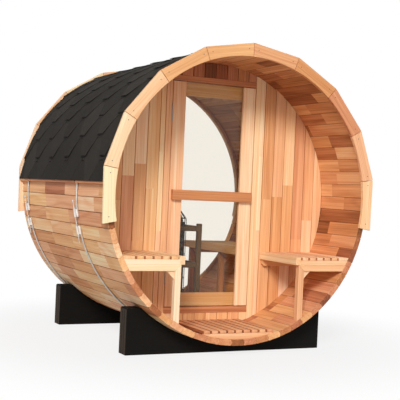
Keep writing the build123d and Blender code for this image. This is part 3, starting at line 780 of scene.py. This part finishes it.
# Cradles: three boards laminated side by side
LAYERS, LAYER_SEAM, CRADLE_CORNER = 3, 0.0002, 0.012
for end in ("front", "rear"):
    node = end + "_cradle"
    low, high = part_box(node)
    dice = random.Random(150 + len(end))
    boards = Shapes()
    half, top, foot = high.x, high.z - AXIS, low.z - AXIS
    saddle = BARREL_RADIUS + SEAM
    start = math.acos(-top / saddle)
    sweep = [start - 2 * start * k / 64 for k in range(65)]
    hollow = [(math.sin(a) * saddle, -math.cos(a) * saddle) for a in sweep]
    bends = arc([math.pi / 10 * k for k in range(6)], CRADLE_CORNER)
    shoulders = [(half - CRADLE_CORNER + u, top - CRADLE_CORNER + v) for u, v in bends]
    turned = [(-u, v) for u, v in shoulders]
    shape_outline = hollow + turned + [(-half, foot), (half, foot)] + shoulders[::-1]
    depth = (high.y - low.y) / LAYERS
    for layer in range(LAYERS):
        near = low.y - FRONT + layer * depth
        shape = prism(shape_outline, -near - depth + LAYER_SEAM, -near - LAYER_SEAM)
        boards.board(shape, dice, dice.uniform(0.25, 0.50), SECTION, 0, 0.0022, end_grain=0.6)
    boards.piece(node + "_timber", STAIN, "cradle_timber", node)

# Roof: hexagonal shingles lapped from the eave to the ridge, the lowest course kicked out straight
COURSES = 10
COURSE = math.radians(8.6)
FIRST_BUTT = math.radians(85.75)
TAB = 1 / 3
TAB_FLAT = 0.075
TAB_SLANT = TAB / 2 - TAB_FLAT
ROW_SHIFTS = (-0.0275, 0.139)
FELT_THICKNESS, STARTER_THICKNESS = 0.0020, 0.0018
DECK = 0.9630
KICK_START, KICK_FLAT = math.radians(75.27), 0.96475
LAP, NOTCH_TOP = 2.05, 0.92
LIP_SHARES = [0, 0.032] + [(step / 8) ** 1.4 for step in range(1, 9)]
BUTT_RISE, LAP_DROP = 0.0064, 0.00208
EAVE_RISE, STARTER_RISE = 0.0040, 0.0019
CURL, SLIP = (0.0030, 0.0066), 0.0018
FELT_TONES = (0.44, 0.56)


def deck_radius(angle):
    """Distance from the axis to the underside of the felt: a round, then a straight slope at the eave."""
    reach = abs(angle)
    if reach > KICK_START:
        return KICK_FLAT / math.cos(reach - KICK_START)
    ease = max(0, 1 - (KICK_START - reach) / 0.2)
    return DECK + (KICK_FLAT - DECK) * ease * ease * (3 - 2 * ease)


def on_roof(angle, depth, rise):
    out = deck_radius(angle) + rise
    return Vector((math.sin(angle) * out, FRONT + depth, AXIS + math.cos(angle) * out))


def slab(shapes, rows, thickness, shades, lip_tones_and_shadow=None, butt_tones_and_light=None):
    """A closed sheet of felt over rows of points, black where it is cut.

    The top has a shade for each column, with others along its lip and its butt if they are given.
    Lip tones may carry a painted shadow, and butt tones a painted highlight on the cut edge.
    """
    shape = bmesh.new()
    upper, under, tones = [], [], []
    for row in rows:
        upper.append([shape.verts.new(p) for p in row])
        line = []
        for p in row:
            out = Vector((p.x, 0, p.z - AXIS)).normalized()
            line.append(shape.verts.new(p - out * thickness))
        under.append(line)
    tall, wide = len(rows), len(rows[0])
    for i in range(tall - 1):
        for j in range(wide - 1):
            shape.faces.new((upper[i][j], upper[i][j + 1], upper[i + 1][j + 1], upper[i + 1][j]))
            shape.faces.new((under[i][j], under[i + 1][j], under[i + 1][j + 1], under[i][j + 1]))
            tones += [lip_tones_and_shadow[j] if lip_tones_and_shadow and i == 0 else shades[j], 0.0]
    for i in range(tall - 1):
        for j in (0, wide - 1):
            shape.faces.new((upper[i][j], upper[i + 1][j], under[i + 1][j], under[i][j]))
    tones += [0.0] * (2 * (tall - 1))
    for j in range(wide - 1):
        for i in (0, tall - 1):
            shape.faces.new((upper[i][j], under[i][j], under[i][j + 1], upper[i][j + 1]))
        tones += [butt_tones_and_light[j] if butt_tones_and_light else 0.0, 0.0]
    bmesh.ops.recalc_face_normals(shape, faces=shape.faces)
    shapes.take(shape, None, tones)


def cut_back(depth, shift):
    """How far up its course a tab's lower edge lies: flat at its middle, slanted to the next tab's notch."""
    away = abs((depth - shift + TAB / 2) % TAB - TAB / 2)
    return min(max((away - TAB_FLAT / 2) / TAB_SLANT, 0), 1) * NOTCH_TOP


def lapped(up):
    """Height over the deck at which a course lies, some way up from its butt."""
    return BUTT_RISE - LAP_DROP * up


def lapped_at_eave(up):
    """The same for the lowest course, which has none under it."""
    return EAVE_RISE - LAP_DROP * max(up - 1, 0)


def course_of_shingles(shapes, dice, sign, butt, shift, reach, rise, loose):
    """A course with its row of tabs, a little curled where loose, up to under the courses over it."""
    near, far = ROOF_ENDS
    depths = {near, far}
    marks = (0, TAB_FLAT / 2, TAB_FLAT / 2 + TAB_SLANT / 2, TAB / 2 - TAB_FLAT / 2, TAB / 2)
    for tab in range(-1, 8):
        corner = shift + TAB * tab
        depths.update(round(corner + side * mark, 5) for side in (-1, 1) for mark in marks)
    depths = sorted(d for d in depths if near <= d <= far)
    curls = {}
    rows = []
    for share in LIP_SHARES:
        row = []
        for depth in depths:
            fresh = (dice.uniform(*CURL), dice.uniform(-SLIP, SLIP))
            curl, slip = curls.setdefault(round((depth - shift) / TAB), fresh)
            start = cut_back(depth, shift)
            up = start + (reach - start) * share
            free = loose * (1 - share) ** 8 * (1 - start)
            angle = butt - COURSE * up + slip * free / DECK
            row.append(on_roof(sign * angle, depth, rise(up) + curl * free))
        rows.append(row)
    shades = {}
    centres = [(a + b) / 2 for a, b in zip(depths, depths[1:])]
    tabs = [shades.setdefault(round((c - shift) / TAB), dice.uniform(*FELT_TONES)) for c in centres]
    # Along the loose flats the lip strip is near black, a painted shadow under the curled edge
    flat = [loose and cut_back(c, shift) == 0 for c in centres]
    lip_tones_and_shadow = [0.08 if loose_flat else shade for loose_flat, shade in zip(flat, tabs)]
    # Cut edges stay black at the flats and are lighter than the felt on the slants, a painted highlight
    slab(shapes, rows, FELT_THICKNESS, tabs, lip_tones_and_shadow, [0.0 if loose_flat else 0.72 for loose_flat in flat])


for side, sign in (("left", -1), ("right", 1)):
    dice = random.Random(200 + sign)
    felt = Shapes()
    starter = [EAVE - COURSE * 0.9 * step / 6 for step in range(7)]
    rows = [[on_roof(sign * angle, depth, STARTER_RISE) for depth in ROOF_ENDS] for angle in starter]
    slab(felt, rows, STARTER_THICKNESS, [0.45])
    for course in range(COURSES):
        top = FIRST_BUTT - course * COURSE
        reach = min(LAP, top / COURSE - 0.002)
        butt, rise = (top, lapped) if course else (EAVE, lapped_at_eave)
        course_of_shingles(felt, dice, sign, butt, ROW_SHIFTS[course % 2], reach, rise, min(course, 1))
    felt.piece(f"roof_{side}_shingles", FELT, "roof_shingle", f"roof_{side}_courses", sharp=30)

# Ridge caps, the front end of each over the one before it
CAPS, CAP_LAP = 13, 1.5
CAP_HALF = math.radians(7.4)
CAP_RISE, CAP_DROP = 0.0042, 0.0036
caps = Shapes()
dice = random.Random(220)
cap_run = (ROOF_ENDS[1] - ROOF_ENDS[0]) / CAPS
for number in range(CAPS):
    low = ROOF_ENDS[0] + number * cap_run
    high = min(low + cap_run * CAP_LAP, ROOF_ENDS[1])
    depths = [low + (high - low) * stop / 6 for stop in range(7)]
    rises = [BUTT_RISE + CAP_RISE - CAP_DROP * (depth - low) / (cap_run * CAP_LAP) for depth in depths]
    rows = [[on_roof(CAP_HALF * (step / 3 - 1), *spot) for spot in zip(depths, rises)] for step in range(7)]
    slab(caps, rows, FELT_THICKNESS, [dice.uniform(*FELT_TONES)] * 6)
caps.piece("roof_ridge_caps", FELT, "roof_shingle", sharp=30)


# Steel: hoops, lugs, tension screws and hinges
def tube(shapes, path, radius, sides=14, closed=False):
    """A round rod along a path, with capped ends unless it closes on itself."""
    rings = []
    count = len(path)
    normal = None
    for number, point in enumerate(path):
        ahead = path[(number + 1) % count] if closed or number < count - 1 else point
        behind = path[number - 1] if closed or number else point
        heading = (ahead - behind).normalized()
        if normal is None:
            normal = heading.orthogonal()
        normal = (normal - heading * normal.dot(heading)).normalized()
        across = heading.cross(normal)
        wide = radius[number] if isinstance(radius, list) else radius
        spokes = [normal * math.cos(a) + across * math.sin(a) for a in circle(sides)]
        rings.append([point + spoke * wide for spoke in spokes])
    shapes.take(skin(rings, closed))


HOOP_GAP, HOOP_STEPS = 0.045 / BARREL_RADIUS, 260
LUG_START, LUG_END = 0.030, 0.083
LUG_BASE = BARREL_RADIUS + 2 * SEAM
STRAP_RISE, STRAP_IN, STRAP_OUT, STRAP_FOOT = 0.0063, 0.00625, 0.0096, 0.0002
SLEEVE_IN, SLEEVE_OUT = 0.0043, 0.0077
SCREW_ACROSS, SCREW_OUT = 0.005, 0.0201
SCREW_RADIUS, SCREW_HALF = 0.004, 0.143
THREAD_PITCH, THREAD_DEPTH = 0.0016, 0.0005
NUT, NUT_RADIUS = 0.008, 0.0074
# Widths and heights up a cap nut, which ends the screw
CAP_NUT = (
    (0.0062, 0.000), (0.0062, 0.006), (0.0058, 0.0085), (0.0046, 0.0112), (0.0026, 0.0130), (0.0006, 0.0136),
)
CAP_NUT_HEIGHT = 0.0137


def tension_place(depth):
    """Frame of a tension screw: x back along the barrel, y out from it, z up the screw."""
    out = Vector((math.sin(TENSION), 0, math.cos(TENSION)))
    up = Vector((math.cos(TENSION), 0, -math.sin(TENSION)))
    turn = Matrix((Vector((0, 1, 0)), out, up)).transposed().to_4x4()
    return Matrix.Translation(Vector((0, FRONT + depth, AXIS)) + out * LUG_BASE) @ turn


for end, depth in zip(("front", "rear"), HOOP_DEPTHS):
    hoop = Shapes()
    ring = BARREL_RADIUS + SEAM + HOOP_ROD
    path = []
    for step in range(HOOP_STEPS + 1):
        angle = TENSION + HOOP_GAP + (2 * math.pi - 2 * HOOP_GAP) * step / HOOP_STEPS
        path.append(around(angle) @ Vector((0, ring, depth)))
    tube(hoop, path, HOOP_ROD)
    hoop.piece(end + "_hoop_rod", HOOP_STEEL, "hoop_steel", end + "_hoop", sharp=40)


def round_screw(angle, radius):
    """A point round a tension screw, back along the barrel and out from it."""
    return SCREW_ACROSS + math.cos(angle) * radius, SCREW_OUT + math.sin(angle) * radius


def screw_sleeve(low, high):
    """The half of a lug that takes the screw: a tube."""
    corners = ((SLEEVE_OUT, low), (SLEEVE_OUT, high), (SLEEVE_IN, high), (SLEEVE_IN, low))
    return skin([[(*round_screw(a, wide), z) for a in circle(28)] for wide, z in corners], True)


def hoop_strap(low, high):
    """The half of a lug that goes over the hoop: a bow with feet that run straight down."""
    lines = []
    for wide in (STRAP_OUT, STRAP_IN):
        turns = [math.pi * k / 28 for k in range(29)]
        bow = [(math.cos(a) * wide, STRAP_RISE + math.sin(a) * wide) for a in turns]
        lines.append([(wide, STRAP_FOOT), *bow, (-wide, STRAP_FOOT)])
    return prism(lines[0] + lines[1][::-1], low, high)


def threaded_rod():
    """The rod of a tension screw, with its thread."""
    sides = 12
    rows = int(2 * SCREW_HALF / (THREAD_PITCH / 3))
    rings = []
    for row in range(rows + 1):
        z = -SCREW_HALF + 2 * SCREW_HALF * row / rows
        ring = []
        for k, turn in enumerate(circle(sides)):
            phase = (z / THREAD_PITCH - k / sides) % 1
            wide = SCREW_RADIUS - THREAD_DEPTH * (1 - abs(2 * phase - 1))
            ring.append((*round_screw(turn, wide), z))
        rings.append(ring)
    return skin(rings)


lugs, screws = Shapes(), Shapes()
for depth in HOOP_DEPTHS:
    place = tension_place(depth)
    for low, high in ((LUG_START, LUG_END), (-LUG_END, -LUG_START)):
        for shape in (hoop_strap(low, high), screw_sleeve(low, high)):
            ease_edges(shape, 0.0006)
            lugs.take(shape, place)
    screws.take(threaded_rod(), place)
    for low in (LUG_END, -LUG_END - NUT):
        nut = prism([round_screw(a, NUT_RADIUS) for a in circle(6)], low + BUTT, low + NUT - BUTT)
        ease_edges(nut, 0.0007)
        screws.take(nut, place)
    base = SCREW_HALF - CAP_NUT_HEIGHT
    spine = [place @ Vector((SCREW_ACROSS, SCREW_OUT, base + z)) for wide, z in CAP_NUT]
    tube(screws, spine, [wide for wide, z in CAP_NUT], 16)
lugs.piece("hoop_lug_sleeves", LUG_STEEL, "hoop_steel", "hoop_lugs", sharp=30)
screws.piece("tension_screws", HOOP_STEEL, "hoop_steel", "tension_rods", sharp=50)

# Butt hinges: knuckles by turns on the jamb's leaf and on the door's, and a pin with a head at each end
HINGE_X, HINGE_Y = -0.3195, FRONT + 0.506
HINGE_LENGTH, HINGE_INSET = 0.115, 0.210
HINGE_HALF, THIRD_HALF = HINGE_LENGTH / 2, HINGE_LENGTH / 3 / 2
KNUCKLE, KNUCKLE_GAP = 0.004, 0.0005
PIN_HEAD, PIN_RADIUS = 0.003, 0.0032
LEAF, LEAF_OUT = 0.002, 0.0025
LEAF_NEAR, LEAF_DEPTH = 0.0046, 0.034
NECK_NEAR, NECK_FAR = 0.001, 0.0047
glass_low, glass_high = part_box("door_glass")
frame_leaves, door_leaves = Shapes(), Shapes()


def knuckle(shapes, middle, low, high, wide=KNUCKLE):
    """One barrel of a hinge, its ends eased."""
    ease = min(0.0006, (high - low) / 4)
    path = [(low, wide - ease), (low + ease, wide), (high - ease, wide), (high, wide - ease)]
    spine = [Vector((HINGE_X, HINGE_Y, middle + z)) for z, w in path]
    tube(shapes, spine, [w for z, w in path], 24)


def hinge_plate(side, near, far, low, high):
    """A plate at one side of the hinge, from near its axis to farther back."""
    left, right = sorted((HINGE_X + side * (LEAF_OUT - LEAF), HINGE_X + side * LEAF_OUT))
    near, far = HINGE_Y + near, HINGE_Y + far
    return prism([(left, near), (right, near), (right, far), (left, far)], low, high)


outer = ((THIRD_HALF + KNUCKLE_GAP, HINGE_HALF), (-HINGE_HALF, -THIRD_HALF - KNUCKLE_GAP))
inner = ((-THIRD_HALF, THIRD_HALF),)
for middle in (glass_high.z - HINGE_INSET, glass_low.z + HINGE_INSET):
    for low, high in outer:
        knuckle(frame_leaves, middle, low, high)
    for low in (HINGE_HALF, -HINGE_HALF - PIN_HEAD):
        knuckle(frame_leaves, middle, low, low + PIN_HEAD, PIN_RADIUS)
    for low, high in inner:
        knuckle(door_leaves, middle, low, high)
    for shapes, side, spans in ((frame_leaves, -1, outer), (door_leaves, 1, inner)):
        leaf = hinge_plate(side, LEAF_NEAR, LEAF_DEPTH, middle - HINGE_HALF, middle + HINGE_HALF)
        ease_edges(leaf, 0.0003)
        shapes.take(leaf)
        for low, high in spans:
            shapes.take(hinge_plate(side, NECK_NEAR, NECK_FAR, middle + low, middle + high))
frame_leaves.piece("frame_hinge_steel", HINGE_STEEL, "hinge_steel", "frame_hinge_leaves", sharp=40)
door_leaves.piece("door_hinge_steel", HINGE_STEEL, "hinge_steel", "door_hinge_leaves", "door", sharp=40)

# Rear window trim: short bent laths with a little space between them
LATHS, LATH_SPACE, LATH_DEPTH = 24, 0.0030, 0.024
trim_low, trim_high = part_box("rear_window_trim")
laths = Shapes()
dice = random.Random(300)
half = math.pi / LATHS - LATH_SPACE
sweep = [-half + 2 * half * k / 8 for k in range(9)]
lath_outline = arc(sweep, CLEAR - 0.0004) + arc(sweep[::-1], CLEAR - LATH_DEPTH)
for lath in range(LATHS):
    shape = prism(lath_outline, trim_low.y - FRONT, trim_high.y - FRONT)
    place = around(2 * math.pi * (lath + 0.5) / LATHS)
    laths.board(shape, dice, dice.uniform(0.10, 0.32), place, 0, 0.0015)
laths.piece("rear_window_laths", CEDAR, "cedar_frame", "rear_window_trim")

for node in ("door_glass", "rear_window_glass"):
    nodes[node].data.materials.clear()
    nodes[node].data.materials.append(GLASS.data)

# Heater: a cage of wire filled with stones
CAGE_BARS, CAGE_HOOPS = 20, 9
CAGE_EDGE, CAGE_WIRE, NECK_WIRE = 0.003, 0.0022, 0.0028
cage_low, cage_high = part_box("heater_cage")
centre = (cage_low + cage_high) / 2
cage_radius = (cage_high.x - cage_low.x) / 2 - CAGE_EDGE
floor_level, shoulder, neck = cage_low.z, cage_high.z - 0.055, 0.057
BAR = (
    (cage_radius, floor_level + CAGE_EDGE), (cage_radius, shoulder - 0.012),
    (cage_radius - 0.004, shoulder), (neck, cage_high.z - CAGE_EDGE),
)
cage = Shapes()


def round_heater(angle, radius, height):
    return Vector((centre.x + math.cos(angle) * radius, centre.y + math.sin(angle) * radius, height))


def cage_hoop(radius, height, wire, sides):
    """A closed hoop of wire round the heater."""
    tube(cage, [round_heater(angle, radius, height) for angle in circle(sides)], wire, 8, True)


for angle in circle(CAGE_BARS):
    tube(cage, [round_heater(angle, radius, height) for radius, height in BAR], CAGE_WIRE, 8)
for level in range(CAGE_HOOPS):
    height = floor_level + CAGE_EDGE + (shoulder - floor_level - 2 * CAGE_EDGE) * level / (CAGE_HOOPS - 1)
    cage_hoop(cage_radius - 0.0035, height, CAGE_WIRE, 40)
cage_hoop(neck, cage_high.z - CAGE_EDGE, NECK_WIRE, 32)
cage.piece("heater_wire_cage", WIRE_PAINT, "heater_black", "heater_cage", sharp=50)

STONE_LAYERS, STONE_RISE, STONE_START = 15, 0.0455, 0.026
STONE_RING, IN_RING = 0.058, 6
FACETS = [Vector(d).normalized() for d in ((1, 1, 0.3), (-1, 0.6, 1), (0.2, -1, 0.8), (-0.6, -0.4, -1))]
stones = Shapes()
dice = random.Random(320)
stone_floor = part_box("heater_stones")[0].z
for layer in range(STONE_LAYERS):
    height = stone_floor + STONE_START + layer * STONE_RISE
    spots = [(STONE_RING, 2 * math.pi * (k + layer % 2 / 2) / IN_RING) for k in range(IN_RING)]
    for radius, angle in [*spots, (0.0, 0.0)]:
        pebble = bmesh.new()
        bmesh.ops.create_icosphere(pebble, subdivisions=2, radius=1.0)
        size = Vector((dice.uniform(0.024, 0.031), dice.uniform(0.024, 0.031), dice.uniform(0.021, 0.028)))
        for vert in pebble.verts:
            facet = max(vert.co.dot(way) for way in FACETS)
            dent = 1 - 0.16 * max(facet - 0.75, 0) / 0.25 + dice.uniform(-0.035, 0.035)
            vert.co = vert.co * size * dent
        spin = Matrix.Rotation(dice.uniform(0, 6.28), 4, "Z")
        tip = Matrix.Rotation(dice.uniform(-0.5, 0.5), 4, "X")
        spot = round_heater(angle, radius, height + dice.uniform(-0.004, 0.004))
        stones.take(pebble, Matrix.Translation(spot) @ (spin @ tip), dice.uniform(0, 1))
stones.piece("heater_stone_pile", STONE, "heater_stone", "heater_stones", sharp=60)

# Camera at the photograph's viewpoint
CAMERA_PLACE = (-2.9808, -6.1733, 1.0569)
FOCAL_LENGTH, SENSOR = 85.060, 36.0
YAW, PITCH, ROLL = (math.radians(a) for a in (26.670, -0.627, 2.606))
lens = bpy.data.cameras.new("camera")
lens.lens, lens.sensor_width = FOCAL_LENGTH, SENSOR
camera = put("camera", lens)
heading = Matrix.Rotation(-YAW, 4, "Z") @ Matrix.Rotation(math.pi / 2 + PITCH, 4, "X")
camera.matrix_world = Matrix.Translation(CAMERA_PLACE) @ heading @ Matrix.Rotation(ROLL, 4, "Z")
bpy.context.scene.camera = camera

# Studio: even light from all round, a soft key from the front left and a weaker fill from the front
WHITE = (1.0, 1.0, 1.0, 1.0)
PALE = (1.0, 0.99, 0.975)
FLOOR_REACH = 60.0


def lamp(name, azimuth, elevation, strength, softness, colour):
    """A soft distant light, from a bearing seen along +Y and a height above the horizon, in degrees."""
    data = bpy.data.lights.new(name, "SUN")
    data.energy, data.angle, data.color = strength, math.radians(softness), colour
    put(name, data).rotation_euler = (math.radians(90 - elevation), 0, math.radians(azimuth))


lamp("key_light", -35, 30, 2.5, 16, (1.0, 0.985, 0.965))
lamp("fill_light", -8, 18, 0.5, 40, PALE)

world = bpy.data.worlds.new("studio")
bpy.context.scene.world = world
sky = Finish("studio", world)
lit = sky.node("ShaderNodeBackground", None, {"Color": (*PALE, 1.0), "Strength": 0.28})
white = sky.node("ShaderNodeBackground", None, {"Color": WHITE, "Strength": 1.0})
sky.blend(sky.seen(), lit, white, "World Output")

# The floor takes shadows near the part, and fades to white away from it
ground = bpy.data.meshes.new("studio_floor")
corners = [(FLOOR_REACH * x, FLOOR_REACH * y, 0) for x, y in ((-1, -1), (1, -1), (1, 1), (-1, 1))]
ground.from_pydata(corners, [], [(0, 1, 2, 3)])
floor = put("studio_floor", ground)
paper = Finish("studio_paper", Base_Color=(0.68, 0.68, 0.68, 1.0), Roughness=0.9)
limits = {0: paper.length(paper.place()), 1: 1.0, 2: 2.5, 3: 0.8, 4: 1.0}
fade = paper.node("ShaderNodeMapRange", {"interpolation_type": "SMOOTHSTEP"}, limits)
glow = paper.node("ShaderNodeEmission", None, {"Color": WHITE, "Strength": 1.0})
paper.blend(paper.seen() * fade, paper.body(), glow)
ground.materials.append(paper.data)

bpy.context.scene.view_settings.view_transform = "Standard"
